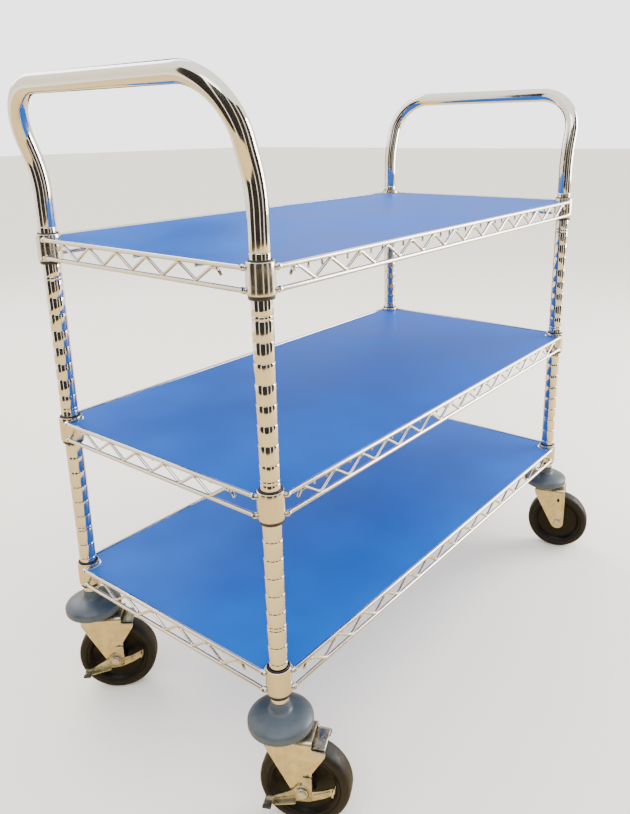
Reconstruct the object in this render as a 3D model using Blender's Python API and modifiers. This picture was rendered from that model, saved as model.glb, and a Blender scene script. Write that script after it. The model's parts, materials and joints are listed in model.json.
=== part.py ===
"""Three-tier wire shelf cart on swivel casters, modelled as separate pieces.

The world is in metres with +Z up.  X runs along the long side and Y across it.
The helpers take millimetres and scale once, when a mesh is made.
"""
import math

import bmesh
import bpy
from mathutils import Matrix, Vector

MM = 0.001

# Overall layout
POST_SPACING_X = 876.3
POST_SPACING_Y = 419.1
CENTRE_SHIFT_Y = 25.4          # the trailing wheels reach further out on the -Y side
COLLAR_CENTRES = {"bottom": 220.4, "middle": 474.4, "top": 753.9}

# Tube that forms two posts and the push handle
TUBE_RADIUS = 12.7
TUBE_WALL = 1.5
TUBE_FOOT_Z = 188.1
TUBE_SIDES = 12
HANDLE_LEAN = math.radians(18.5)
HANDLE_BEND_Z = 854.4
HANDLE_BEND_RADIUS = 180.0
HANDLE_BAR_Z = 972.4
HANDLE_CORNER_RADIUS = 75.0

# Welded shelf
RAIL_OUTSET = 15.5
RAIL_START = 10.2              # along the side from the post axis, where the collar wall is
RAIL_RADIUS = 3.0
TRUSS_RADIUS = 2.0
TOP_RAIL_DZ = 12.2
LOW_RAIL_DZ = -13.6
COLLAR_HEIGHT = 38.0
COLLAR_RADIUS = 17.5
DECK_PITCH = 25.4
DECK_WIRE = 3.6
MAT_THICKNESS = 2.0

# Tapered sleeve between post and collar
SLEEVE_BORE = 13.5
SLEEVE_TOP_RADIUS = 14.5
SLEEVE_LOW_RADIUS = 15.6
FIT_GAP = 0.3

# Bumper and caster
BUMPER_TOP_Z = 187.8
BUMPER_HEIGHT = 38.4
BUMPER_RADIUS = 44.5
STEM_RADIUS = 8.0
STEM_TOP_Z = 236.0
FORK_TOP_Z = 142.6
FORK_INNER = 20.0
FORK_PLATE = 3.0
WHEEL_RADIUS = 63.5
WHEEL_HALF_WIDTH = 15.9
CASTER_TRAIL = 33.0
BOLT_RADIUS = 4.5
LEVER_THICKNESS = 2.5
SHOE_START = 7.0               # behind the axle
SHOE_END = 31.0
SHOE_HEIGHT = 64.7             # above the axle
SHOE_THICKNESS = 3.0
SHOE_HINGE = (28.0, 60.5)      # pin through the fork's rear ears, from the axle

CORNERS = {
    "front_left": (-1, -1, -64.0, True),
    "rear_left": (-1, 1, -48.0, True),
    "front_right": (1, -1, -72.0, False),
    "rear_right": (1, 1, -76.0, False),
}


def clear_scene():
    """Remove everything that the start-up file brings in."""
    for item in list(bpy.data.objects):
        bpy.data.objects.remove(item, do_unlink=True)
    for block in (bpy.data.meshes, bpy.data.curves, bpy.data.materials):
        for item in list(block):
            block.remove(item)
    for item in list(bpy.data.collections):
        bpy.data.collections.remove(item)


def make_material(name, colour, metallic, roughness):
    """A plain Principled material."""
    material = bpy.data.materials.new(name)
    material.use_nodes = True
    shader = material.node_tree.nodes["Principled BSDF"]
    shader.inputs["Base Color"].default_value = (*colour, 1.0)
    shader.inputs["Metallic"].default_value = metallic
    shader.inputs["Roughness"].default_value = roughness
    material.diffuse_color = (*colour, 1.0)
    return material


def bake(item):
    """Replace an object by a plain mesh of its evaluated shape."""
    bpy.context.view_layer.update()
    graph = bpy.context.evaluated_depsgraph_get()
    mesh = bpy.data.meshes.new_from_object(item.evaluated_get(graph))
    result = bpy.data.objects.new(item.name + "_baked", mesh)
    result.matrix_world = item.matrix_world.copy()
    CUTTERS.objects.link(result)
    bpy.data.objects.remove(item, do_unlink=True)
    return weld(result)


def weld(item):
    """Merge coincident vertices, such as a curve's loose caps."""
    shape = bmesh.new()
    shape.from_mesh(item.data)
    bmesh.ops.remove_doubles(shape, verts=shape.verts, dist=0.00001)
    shape.to_mesh(item.data)
    shape.free()
    return item


def revolve(name, profile, sides):
    """Turn an (r, z) profile round Z; a profile that starts off the axis is a closed ring."""
    count = len(profile)
    edges = [(step, step + 1) for step in range(count - 1)]
    if profile[0][0] > 0.0:
        edges.append((count - 1, 0))
    mesh = bpy.data.meshes.new(name)
    mesh.from_pydata([(radius * MM, 0.0, height * MM) for radius, height in profile], edges, [])
    item = bpy.data.objects.new(name, mesh)
    CUTTERS.objects.link(item)
    screw = item.modifiers.new("turn", "SCREW")
    screw.steps = sides
    screw.render_steps = sides
    screw.use_merge_vertices = True
    screw.merge_threshold = 0.00001
    return bake(item)


def wire(name, points, radius, resolution, cyclic=False):
    """A round wire or tube along straight runs between points."""
    curve = bpy.data.curves.new(name, "CURVE")
    curve.dimensions = "3D"
    curve.bevel_depth = radius * MM
    curve.bevel_resolution = resolution
    curve.use_fill_caps = not cyclic
    spline = curve.splines.new("POLY")
    spline.points.add(len(points) - 1)
    spline.use_cyclic_u = cyclic
    for slot, point in zip(spline.points, points):
        slot.co = (*(Vector(point) * MM), 1.0)
    item = bpy.data.objects.new(name, curve)
    CUTTERS.objects.link(item)
    return bake(item)


def plate(name, outline, thickness, holes=()):
    """A flat plate in XY from an outline and holes, centred on Z = 0."""
    area = sum(a[0] * b[1] - b[0] * a[1] for a, b in zip(outline, [*outline[1:], outline[0]]))
    if area < 0.0:
        outline = outline[::-1]
    curve = bpy.data.curves.new(name, "CURVE")
    curve.dimensions = "2D"
    curve.fill_mode = "BOTH"
    curve.extrude = thickness * 0.5 * MM
    for loop in (outline, *holes):
        spline = curve.splines.new("POLY")
        spline.points.add(len(loop) - 1)
        spline.use_cyclic_u = True
        for slot, point in zip(spline.points, loop):
            slot.co = (point[0] * MM, point[1] * MM, 0.0, 1.0)
    item = bpy.data.objects.new(name, curve)
    CUTTERS.objects.link(item)
    return bake(item)


def block(name, low, high):
    """A box between two corners."""
    low, high = Vector(low), Vector(high)
    shape = bmesh.new()
    bmesh.ops.create_cube(shape, size=1.0)
    bmesh.ops.scale(shape, vec=(high - low) * MM, verts=shape.verts)
    bmesh.ops.translate(shape, vec=(high + low) * MM / 2, verts=shape.verts)
    mesh = bpy.data.meshes.new(name)
    shape.to_mesh(mesh)
    shape.free()
    item = bpy.data.objects.new(name, mesh)
    CUTTERS.objects.link(item)
    return item


def combine(target, others, operation):
    """Apply a Boolean with each of the other objects in turn."""
    for other in others:
        modifier = target.modifiers.new("shape", "BOOLEAN")
        modifier.operation = operation
        modifier.solver = "EXACT"
        modifier.object = other
        bpy.context.view_layer.update()
        graph = bpy.context.evaluated_depsgraph_get()
        mesh = bpy.data.meshes.new_from_object(target.evaluated_get(graph))
        target.modifiers.clear()
        target.data = mesh
        bpy.data.objects.remove(other, do_unlink=True)
    return weld(target)


def move(item, matrix):
    """Bake a placement into the mesh."""
    item.data.transform(matrix)
    item.data.update()
    return item


def shift(x, y, z):
    """A translation given in millimetres."""
    return Matrix.Translation(Vector((x, y, z)) * MM)


def finish(item, name, material, parent=None):
    """Name a finished piece, give it its material and put it in the cart's collection."""
    item.name = name
    item.data.name = name
    item.data.materials.clear()
    item.data.materials.append(material)
    item.data.polygons.foreach_set("material_index", [0] * len(item.data.polygons))
    item.data.shade_smooth()
    item.data.set_sharp_from_angle(angle=math.radians(40.0))
    CUTTERS.objects.unlink(item)
    CART.objects.link(item)
    item.parent = parent
    return item


def pivot(name, location, turn, parent=None):
    """An empty whose local Z or Y is a joint axis."""
    empty = bpy.data.objects.new(name, None)
    empty.empty_display_size = 0.03
    empty.location = Vector(location) * MM
    empty.rotation_euler = (0.0, 0.0, turn)
    empty.parent = parent
    CART.objects.link(empty)
    return empty


def circle(cx, cy, radius, steps, start=0.0, sweep=2.0 * math.pi, whole=True):
    """Points on an arc; a whole circle leaves out the repeated last point."""
    count = steps if whole else steps + 1
    return [
        (
            cx + radius * math.cos(start + sweep * step / steps),
            cy + radius * math.sin(start + sweep * step / steps),
        )
        for step in range(count)
    ]


def post_position(side_x, side_y):
    """Axis of one post."""
    return side_x * POST_SPACING_X / 2, side_y * POST_SPACING_Y / 2 + CENTRE_SHIFT_Y


def handle_path(side_x, foot_z):
    """Centre line of one end tube: up a post, leaning out, across the bar and down again."""
    lean = Vector((side_x * math.sin(HANDLE_LEAN), 0.0, math.cos(HANDLE_LEAN)))
    tangent = HANDLE_BEND_RADIUS * math.tan(HANDLE_LEAN / 2)
    post_x = side_x * POST_SPACING_X / 2
    half_y = POST_SPACING_Y / 2
    leg = [Vector((post_x, -half_y, foot_z))]
    for step in range(5):
        turn = HANDLE_LEAN * step / 4
        leg.append(Vector((
            post_x + side_x * HANDLE_BEND_RADIUS * (1 - math.cos(turn)),
            -half_y,
            HANDLE_BEND_Z - tangent + HANDLE_BEND_RADIUS * math.sin(turn),
        )))
    bar = leg[-1] + lean * ((HANDLE_BAR_Z - leg[-1].z) / lean.z)
    centre = bar - lean * HANDLE_CORNER_RADIUS + Vector((0, HANDLE_CORNER_RADIUS, 0))
    for step in range(9):
        turn = math.pi / 2 * step / 8
        along = -HANDLE_CORNER_RADIUS * math.cos(turn)
        up = HANDLE_CORNER_RADIUS * math.sin(turn)
        leg.append(centre + Vector((0, along, 0)) + lean * up)
    other = [Vector((p.x, -p.y, p.z)) for p in reversed(leg)]
    middle = Vector((0, CENTRE_SHIFT_Y, 0))
    return [point + middle for point in leg + other]


def build_end_tube(name, side_x, material):
    """Hollow tube, open at both feet."""
    resolution = TUBE_SIDES // 2 - 2
    outer = wire(name, handle_path(side_x, TUBE_FOOT_Z), TUBE_RADIUS, resolution)
    bore = wire("bore", handle_path(side_x, TUBE_FOOT_Z - 20), TUBE_RADIUS - TUBE_WALL, resolution)
    finish(combine(outer, [bore], "DIFFERENCE"), name, material)


def truss_points(length, first):
    """Zigzag between the rails as (distance, height) pairs that start and end on a peak."""
    peak = TOP_RAIL_DZ - RAIL_RADIUS - TRUSS_RADIUS + 0.8
    valley = LOW_RAIL_DZ + RAIL_RADIUS + TRUSS_RADIUS - 0.8
    count = round((length - 2 * first) / 60.2)
    pitch = (length - 2 * first) / count
    points = [(first - 12.0, peak - 4.0)]
    for step in range(count):
        start = first + step * pitch
        points.append((start, peak))
        points.append((start + pitch / 2, valley))
    points.append((length - first, peak))
    points.append((length - first + 12.0, peak - 4.0))
    return points


def side_of_shelf(start, along, length, height, first):
    """Two straight rails and the zigzag wire of one shelf side."""
    pieces = []
    for rise in (TOP_RAIL_DZ, LOW_RAIL_DZ):
        ends = [start + along * RAIL_START, start + along * (length - RAIL_START)]
        points = [(p.x, p.y, height + rise) for p in ends]
        pieces.append(wire("rail", points, RAIL_RADIUS, 1))
    zigzag = []
    for distance, rise in truss_points(length, first):
        place = start + along * distance
        zigzag.append((place.x, place.y, height + rise))
    pieces.append(wire("truss", zigzag, TRUSS_RADIUS, 0))
    return pieces


def build_collar(height):
    """Tapered collar ring whose bore follows the sleeve."""
    top = COLLAR_HEIGHT / 2
    profile = [
        (SLEEVE_TOP_RADIUS + FIT_GAP, top),
        (COLLAR_RADIUS - 1.0, top),
        (COLLAR_RADIUS, top - 2.0),
        (COLLAR_RADIUS, -top),
        (SLEEVE_LOW_RADIUS + FIT_GAP, -top),
    ]
    return move(revolve("collar", profile, 12), shift(0, 0, height))


def build_shelf_frame(level, height, material):
    """Four collars joined by railed and trussed sides."""
    half_x = POST_SPACING_X / 2
    half_y = POST_SPACING_Y / 2
    pieces = []
    for side_x in (-1, 1):
        for side_y in (-1, 1):
            x, y = post_position(side_x, side_y)
            pieces.append(move(build_collar(height), shift(x, y, 0)))
    for side in (-1, 1):
        edge_y = side * (half_y + RAIL_OUTSET) + CENTRE_SHIFT_Y
        start = Vector((-half_x, edge_y, 0))
        pieces += side_of_shelf(start, Vector((1, 0, 0)), POST_SPACING_X, height, 45.0)
        start = Vector((side * (half_x + RAIL_OUTSET), -half_y + CENTRE_SHIFT_Y, 0))
        pieces += side_of_shelf(start, Vector((0, 1, 0)), POST_SPACING_Y, height, 60.0)
    frame = combine(pieces[0], pieces[1:], "UNION")
    finish(frame, "shelf_frame_" + level, material)


def build_deck(level, height, material):
    """Cross wires joined by one lengthwise rib, resting between the top rails."""
    reach = POST_SPACING_Y / 2 + RAIL_OUTSET - RAIL_RADIUS - FIT_GAP
    count = int((POST_SPACING_X - 60.0) / DECK_PITCH)
    half = DECK_WIRE / 2
    places = [(step - (count - 1) / 2) * DECK_PITCH for step in range(count)]
    end_x = POST_SPACING_X / 2 + RAIL_OUTSET - RAIL_RADIUS - FIT_GAP
    upper = [(-end_x, half)]
    for place in places:
        upper += [(place - half, half), (place - half, reach), (place + half, reach), (place + half, half)]
    upper.append((end_x, half))
    lower = [(-x, -y) for x, y in upper]
    deck = plate("deck", upper + lower, DECK_WIRE)
    move(deck, shift(0, CENTRE_SHIFT_Y, height + TOP_RAIL_DZ - DECK_WIRE / 2 - 1.0))
    finish(deck, "shelf_deck_" + level, material)


def build_mat(level, height, material):
    """Flat mat inside the top rails, notched in an arc round each collar."""
    inset = RAIL_OUTSET - RAIL_RADIUS - FIT_GAP
    edge_x = POST_SPACING_X / 2 + inset
    edge_y = POST_SPACING_Y / 2 + inset
    notch = COLLAR_RADIUS + 2.0
    reach = math.sqrt(notch ** 2 - inset ** 2)
    start = math.atan2(inset, -reach)
    sweep = math.atan2(-reach, inset) + 2 * math.pi - start
    outline = []
    for sign_x, sign_y in ((1, 1), (-1, 1), (-1, -1), (1, -1)):
        cx, cy = edge_x - inset, edge_y - inset
        arc = circle(cx, cy, notch, 6, start, sweep, False)
        if sign_x * sign_y > 0:
            arc.reverse()
        outline += [(x * sign_x, y * sign_y) for x, y in arc]
    mat = plate("mat", outline, MAT_THICKNESS)
    move(mat, shift(0, CENTRE_SHIFT_Y, height + TOP_RAIL_DZ - 0.7 + MAT_THICKNESS / 2))
    finish(mat, "mat_" + level, material)


def build_sleeve(level, corner, x, y, height, material):
    """Tapered sleeve with a foot flange and a thin lip above the collar."""
    top = COLLAR_HEIGHT / 2
    profile = [
        (SLEEVE_BORE, top + 2.0),
        (SLEEVE_TOP_RADIUS, top + 2.0),
        (SLEEVE_LOW_RADIUS, -top),
        (SLEEVE_LOW_RADIUS, -top - 5.0),
        (SLEEVE_BORE, -top - 5.0),
    ]
    sleeve = move(revolve("sleeve", profile, 12), shift(x, y, height))
    finish(sleeve, "sleeve_" + level + "_" + corner, material)


def build_bumper(corner, x, y, material):
    """Soft round bumper: a neck under the post flowing into a disc."""
    profile = [
        (STEM_RADIUS + FIT_GAP, 0.0),
        (13.4, 0.0),
        (13.6, -11.0),
        (17.0, -15.5),
        (31.0, -19.0),
        (40.0, -23.5),
        (BUMPER_RADIUS, -29.0),
        (BUMPER_RADIUS, -34.5),
        (42.0, -BUMPER_HEIGHT),
        (STEM_RADIUS + FIT_GAP, -BUMPER_HEIGHT),
    ]
    bumper = move(revolve("bumper", profile, 16), shift(x, y, BUMPER_TOP_Z))
    finish(bumper, "bumper_" + corner, material)


def build_stem(corner, x, y, material):
    """Caster stem that fills the post foot, with its bearing plate under the bumper."""
    under = BUMPER_TOP_Z - BUMPER_HEIGHT - FIT_GAP
    foot = FORK_TOP_Z + FIT_GAP
    profile = [
        (0.0, STEM_TOP_Z),
        (STEM_RADIUS, STEM_TOP_Z),
        (STEM_RADIUS, under),
        (26.0, under),
        (28.5, under - 2.0),
        (28.5, foot),
        (0.0, foot),
    ]
    stem = move(revolve("stem", profile, 12), shift(x, y, 0))
    finish(stem, "caster_stem_" + corner, material)


def upright(item, offset):
    """Stand a plate drawn in XY up in the XZ plane at a Y offset."""
    return move(item, shift(0, offset, 0) @ Matrix.Rotation(math.pi / 2, 4, "X"))


def fork_outline(braked):
    """Side view of a fork leg: slanted front edge, rounded foot, upright rear edge."""
    axle_z = WHEEL_RADIUS
    foot = circle(CASTER_TRAIL, axle_z, 13.4, 6, math.radians(195), math.radians(165), False)
    rear = [(CASTER_TRAIL + 13.4, FORK_TOP_Z)]
    if braked:
        rear = [
            (CASTER_TRAIL + 13.4, axle_z + 31.0),
            (CASTER_TRAIL + 32.0, axle_z + 61.0),
            (CASTER_TRAIL + 32.0, axle_z + 66.0),
            (CASTER_TRAIL + 13.4, axle_z + 66.0),
            (CASTER_TRAIL + 13.4, FORK_TOP_Z),
        ]
    return foot + rear + [(-18.0, FORK_TOP_Z), (-18.0, FORK_TOP_Z - 12.0), (-11.0, FORK_TOP_Z - 26.0)]


def build_fork(corner, braked, pivot_empty, material):
    """Pressed fork: two legs joined by a top plate."""
    hole = circle(CASTER_TRAIL, WHEEL_RADIUS, BOLT_RADIUS + FIT_GAP, 10)
    slot = circle(CASTER_TRAIL, WHEEL_RADIUS + 54.0, 3.2, 8)
    holes = [hole] if braked else [hole, slot]
    middle = FORK_INNER + FORK_PLATE / 2
    legs = []
    for offset in (-middle, middle):
        legs.append(upright(plate("leg", fork_outline(braked), FORK_PLATE, holes), offset))
    low = (-18.0, -FORK_INNER - 0.5, FORK_TOP_Z - 3.5)
    high = (CASTER_TRAIL + 13.4, FORK_INNER + 0.5, FORK_TOP_Z)
    fork = combine(block("crown", low, high), legs, "UNION")
    finish(fork, "fork_" + corner, material, pivot_empty)


def turned_on_axle(name, profile, sides):
    """A revolved shape whose axis is local Y."""
    return move(revolve(name, profile, sides), Matrix.Rotation(-math.pi / 2, 4, "X"))


def build_bolt(corner, braked, axle, material):
    """Axle bolt with a head on each side of the fork."""
    near = FORK_INNER + FORK_PLATE + FIT_GAP
    if braked:
        near += LEVER_THICKNESS + FIT_GAP
    far = FORK_INNER + FORK_PLATE + FIT_GAP
    profile = [
        (0.0, far + 5.0),
        (7.5, far + 5.0),
        (8.5, far + 4.0),
        (8.5, far),
        (BOLT_RADIUS, far),
        (BOLT_RADIUS, -near),
        (8.5, -near),
        (8.5, -near - 4.0),
        (7.5, -near - 5.0),
        (0.0, -near - 5.0),
    ]
    finish(turned_on_axle("bolt", profile, 10), "axle_bolt_" + corner, material, axle)


def build_wheel(corner, axle, core_material, tyre_material):
    """Wheel core and the tyre round it."""
    bore = BOLT_RADIUS + FIT_GAP
    half = [(bore, 18.0), (14.0, 18.0), (16.0, 8.0), (44.0, 7.0), (50.0, 14.5)]
    profile = half + [(radius, -width) for radius, width in reversed(half)]
    finish(turned_on_axle("core", profile, 20), "wheel_core_" + corner, core_material, axle)
    side = WHEEL_HALF_WIDTH
    outer = [(50.3, 14.5), (52.0, side), (58.5, side), (62.3, 12.4), (WHEEL_RADIUS, 7.0)]
    profile = outer + [(radius, -width) for radius, width in reversed(outer)]
    finish(turned_on_axle("tyre", profile, 20), "tyre_" + corner, tyre_material, axle)


def build_lever(corner, axle, material):
    """Rocking foot lever on the axle: a pedal in front and an upturned tab behind."""
    outline = [
        (-52.0, -23.0),
        (-40.0, -23.0),
        (-8.0, -14.5),
        (8.0, -13.5),
        (30.0, -3.5),
        (45.0, 6.0),
        (46.0, 18.0),
        (41.5, 15.0),
        (28.0, 8.0),
        (14.0, 4.5),
        (14.0, 25.0),
        (0.5, 25.0),
        (0.5, 12.5),
        (-8.0, 6.0),
        (-40.0, -14.0),
        (-52.0, -15.0),
    ]
    hole = circle(0.0, 0.0, BOLT_RADIUS + FIT_GAP, 10)
    centre = -(FORK_INNER + FORK_PLATE + FIT_GAP + LEVER_THICKNESS / 2)
    lever = upright(plate("lever", outline, LEVER_THICKNESS, [hole]), centre)
    pedal = block("pedal", (-52.0, centre - 15.0, -21.0), (-40.0, centre + 1.0, -17.5))
    tab = block("tab", (42.0, centre - 8.0, 7.0), (44.5, centre + 1.0, 15.0))
    lever = combine(lever, [pedal, tab], "UNION")
    finish(lever, "brake_lever_" + corner, material, axle)


def build_shoe(corner, hinge, material):
    """Flat brake plate over the tread, with a lug on each side down to its hinge pin."""
    top = SHOE_HEIGHT + SHOE_THICKNESS
    plate_block = block("plate", (SHOE_START, -18.0, SHOE_HEIGHT), (SHOE_END, 18.0, top))
    lugs = []
    for side in (-1, 1):
        near, far = sorted((side * 16.6, side * 18.0))
        low = (SHOE_HINGE[0] - 4.0, near, SHOE_HINGE[1] - 3.5)
        lugs.append(block("lug", low, (SHOE_END, far, SHOE_HEIGHT + 1.0)))
    shoe = combine(plate_block, lugs, "UNION")
    move(shoe, shift(-SHOE_HINGE[0], 0, -SHOE_HINGE[1]))
    finish(shoe, "brake_shoe_" + corner, material, hinge)


def build_caster(corner, x, y, degrees, braked, materials):
    """One caster: its swivel pivot, fork, axle, wheel and, where fitted, its brake."""
    build_stem(corner, x, y, materials["zinc"])
    swivel = pivot("swivel_" + corner, (x, y, 0.0), math.radians(degrees))
    axle = pivot("axle_" + corner, (CASTER_TRAIL, 0.0, WHEEL_RADIUS), 0.0, swivel)
    build_fork(corner, braked, swivel, materials["fork"])
    build_bolt(corner, braked, axle, materials["zinc"])
    build_wheel(corner, axle, materials["core"], materials["tyre"])
    if braked:
        build_lever(corner, axle, materials["brake"])
        hinge = pivot("shoe_hinge_" + corner, (SHOE_HINGE[0], 0.0, SHOE_HINGE[1]), 0.0, axle)
        build_shoe(corner, hinge, materials["brake"])


def build_cart():
    """Build every piece of the cart."""
    materials = {
        "chrome": make_material("chrome_plated_steel", (0.78, 0.77, 0.74), 1.0, 0.12),
        "deck": make_material("chrome_plated_deck_wire", (0.70, 0.70, 0.68), 1.0, 0.18),
        "mat": make_material("blue_shelf_mat", (0.06, 0.22, 0.62), 0.0, 0.25),
        "sleeve": make_material("black_sleeve_plastic", (0.015, 0.015, 0.016), 0.0, 0.45),
        "bumper": make_material("grey_bumper_rubber", (0.17, 0.25, 0.32), 0.0, 0.5),
        "zinc": make_material("zinc_plated_steel", (0.62, 0.60, 0.54), 1.0, 0.3),
        "fork": make_material("pressed_zinc_fork", (0.66, 0.63, 0.52), 1.0, 0.28),
        "core": make_material("black_wheel_core", (0.012, 0.011, 0.011), 0.0, 0.4),
        "tyre": make_material("dark_polyurethane_tyre", (0.03, 0.026, 0.024), 0.0, 0.5),
        "brake": make_material("zinc_plated_brake_steel", (0.6, 0.58, 0.5), 1.0, 0.32),
    }
    build_end_tube("end_tube_left", -1, materials["chrome"])
    build_end_tube("end_tube_right", 1, materials["chrome"])
    for level, height in COLLAR_CENTRES.items():
        build_shelf_frame(level, height, materials["chrome"])
        build_deck(level, height, materials["deck"])
        build_mat(level, height, materials["mat"])
        for corner, (side_x, side_y, _, _) in CORNERS.items():
            x, y = post_position(side_x, side_y)
            build_sleeve(level, corner, x, y, height, materials["sleeve"])
    for corner, (side_x, side_y, degrees, braked) in CORNERS.items():
        x, y = post_position(side_x, side_y)
        build_bumper(corner, x, y, materials["bumper"])
        build_caster(corner, x, y, degrees, braked, materials)


clear_scene()
CART = bpy.data.collections.new("wire_shelf_cart")
CUTTERS = bpy.data.collections.new("cutters")
for collection in (CART, CUTTERS):
    bpy.context.scene.collection.children.link(collection)
build_cart()
bpy.data.collections.remove(CUTTERS)
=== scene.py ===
"""Looks for the wire shelf cart: plated tubes and wires, flat mats, bumpers, casters and brakes.

Every surface is worked out in millimetres and scaled once when its mesh is made.
"""

import json
import math

import bmesh
import bpy
import numpy as np
from mathutils import Matrix, Vector


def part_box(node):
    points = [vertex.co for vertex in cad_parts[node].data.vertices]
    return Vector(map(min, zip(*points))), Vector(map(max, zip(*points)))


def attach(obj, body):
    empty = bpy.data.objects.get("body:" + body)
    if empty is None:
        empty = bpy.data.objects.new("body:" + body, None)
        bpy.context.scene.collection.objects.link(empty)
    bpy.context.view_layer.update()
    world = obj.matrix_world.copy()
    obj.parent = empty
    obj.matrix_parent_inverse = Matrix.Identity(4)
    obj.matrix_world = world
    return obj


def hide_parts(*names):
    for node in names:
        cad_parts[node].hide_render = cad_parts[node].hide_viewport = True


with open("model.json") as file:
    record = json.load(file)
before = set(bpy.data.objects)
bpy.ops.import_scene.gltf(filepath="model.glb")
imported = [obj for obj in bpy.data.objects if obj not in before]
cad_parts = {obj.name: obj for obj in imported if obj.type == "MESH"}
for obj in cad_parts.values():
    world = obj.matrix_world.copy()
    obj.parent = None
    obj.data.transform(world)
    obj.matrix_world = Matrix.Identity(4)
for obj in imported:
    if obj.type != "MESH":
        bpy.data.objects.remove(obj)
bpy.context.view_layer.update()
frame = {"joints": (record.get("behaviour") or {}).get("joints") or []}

MM = 0.001
TAU = 2.0 * math.pi

LEVELS = ("bottom", "middle", "top")
CORNERS = ("front_left", "rear_left", "front_right", "rear_right")
BRAKED = ("front_left", "rear_left")

# Post tube
TUBE_RADIUS = 12.7
TUBE_BORE = 11.2
BORE_DEPTH = 60.0
GROOVE_PITCH = 25.4
GROOVE_DEPTH = 0.6
GROOVE_HALF_WIDTH = 0.8
GROOVES_ABOVE = 3
GROOVES_BELOW = 20
DOUBLE_GROOVE_EVERY = 8
DOUBLE_GROOVE_GAP = 5.0
HANDLE_LEAN = math.radians(18.5)
BEND_BELOW_BAR = 117.7
BEND_RADIUS = 180.0
CORNER_RADIUS = 75.0

# Shelf
RAIL_OUTSET = 15.5
RAIL_END = 10.2
RAIL_RADIUS = 3.0
TRUSS_RADIUS = 2.0
TOP_RAIL = 12.2
LOW_RAIL = -13.6
COLLAR_HALF = 19.0
COLLAR_RADIUS = 17.5
TRUSS_PITCH = 60.2
DECK_PITCH = 25.4
DECK_RADIUS = 1.7
GROOVE_BELOW_TOP_COLLAR = 47.5

# Caster
WHEEL_RADIUS = 63.3
TREAD_HALF = 15.9
FORK_INNER = 20.0
FORK_SHEET = 3.0
FORK_EYE = 13.4
EAR_HEIGHTS = (31.0, 59.5, 61.5, 64.0, 65.5, 67.0)
LEG_ROWS = (0.0, 3.0, 6.0, 9.0, 12.0, 16.0, 20.0, 24.0, 28.0, 31.0, 34.0, 38.0, 42.0, 46.0, 50.0,
            53.0, 56.0, 59.5, 61.5, 64.0, 65.5, 67.0, 69.5)
CREASE_AT = 7.0
CREASE_DEPTH = 0.7
CREASE_WIDTH = 1.8
LEG_COLUMNS = 49

# Studio
BACKDROP_LIGHT = 3.0
SURROUND_LIGHT = 2.2
FLAG_DISTANCE = 2.3
FLAG_HEIGHT = 2.8
FLAGS = (
    ("flag_left", 168.0, 1.5), ("flag_camera", 212.0, 1.75), ("flag_right", 252.0, 1.2),
    ("flag_far_right", 292.0, 1.4), ("flag_behind", 62.0, 1.0),
)


def millimetres(corners):
    """A pair of box corners in metres as two arrays in millimetres."""
    return [np.array(corner) / MM for corner in corners]


def box_mm(node):
    """A CAD node's lowest and highest corners in millimetres."""
    return millimetres(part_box(node))


def middle(node):
    """Centre of a CAD node's box in millimetres."""
    low, high = box_mm(node)
    return (low + high) / 2


POSTS = {corner: middle("sleeve_top_" + corner)[:2] for corner in CORNERS}
SHELF_Z = {level: middle("shelf_frame_" + level)[2] for level in LEVELS}
CENTRE_Y = (POSTS["front_left"][1] + POSTS["rear_left"][1]) / 2
SPAN_X = POSTS["front_right"][0] - POSTS["front_left"][0]
SPAN_Y = POSTS["rear_left"][1] - POSTS["front_left"][1]
JOINTS = {joint["name"]: joint for joint in frame["joints"]}


# ---------------------------------------------------------------- mesh making

def quads(rows, columns, ring_rows=False, ring_columns=True):
    """Corner indices of every square between neighbouring rows and columns of a grid."""
    row = np.arange(rows if ring_rows else rows - 1)[:, None]
    column = np.arange(columns if ring_columns else columns - 1)[None, :]
    next_row = (row + 1) % rows
    next_column = (column + 1) % columns
    corners = (
        row * columns + column,
        row * columns + next_column,
        next_row * columns + next_column,
        next_row * columns + column,
    )
    return np.stack(corners, axis=-1).reshape(-1, 4)


def make_piece(name, grids, material, body, stands_for=(), sharp=35.0):
    """Join point grids, each (points, ring_rows, ring_columns), into one object on a body.

    Equal points are merged, which closes poles and seams, and the faces are turned outward.
    """
    points = []
    faces = []
    count = 0
    for grid, ring_rows, ring_columns in grids:
        rows, columns = grid.shape[:2]
        points.append(grid.reshape(-1, 3))
        faces.append(quads(rows, columns, ring_rows, ring_columns) + count)
        count += rows * columns
    points = np.concatenate(points) * MM
    faces = np.concatenate(faces)
    mesh = bpy.data.meshes.new(name)
    mesh.vertices.add(len(points))
    mesh.vertices.foreach_set("co", points.ravel())
    mesh.loops.add(faces.size)
    mesh.loops.foreach_set("vertex_index", faces.ravel())
    mesh.polygons.add(len(faces))
    mesh.polygons.foreach_set("loop_start", np.arange(len(faces)) * 4)
    mesh.update(calc_edges=True)
    shape = bmesh.new()
    shape.from_mesh(mesh)
    bmesh.ops.remove_doubles(shape, verts=shape.verts, dist=0.000004)
    bmesh.ops.recalc_face_normals(shape, faces=shape.faces)
    shape.to_mesh(mesh)
    shape.free()
    return settle(name, mesh, material, body, stands_for, sharp)


def settle(name, mesh, material, body, stands_for=(), sharp=35.0):
    """Shade a mesh, give it its material and let it ride on its body."""
    mesh.validate()
    mesh.shade_smooth()
    mesh.set_sharp_from_angle(angle=math.radians(sharp))
    mesh.materials.clear()
    mesh.materials.append(material)
    piece = bpy.data.objects.new(name, mesh)
    bpy.context.scene.collection.objects.link(piece)
    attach(piece, body)
    if stands_for:
        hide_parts(*stands_for)
    return piece


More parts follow.
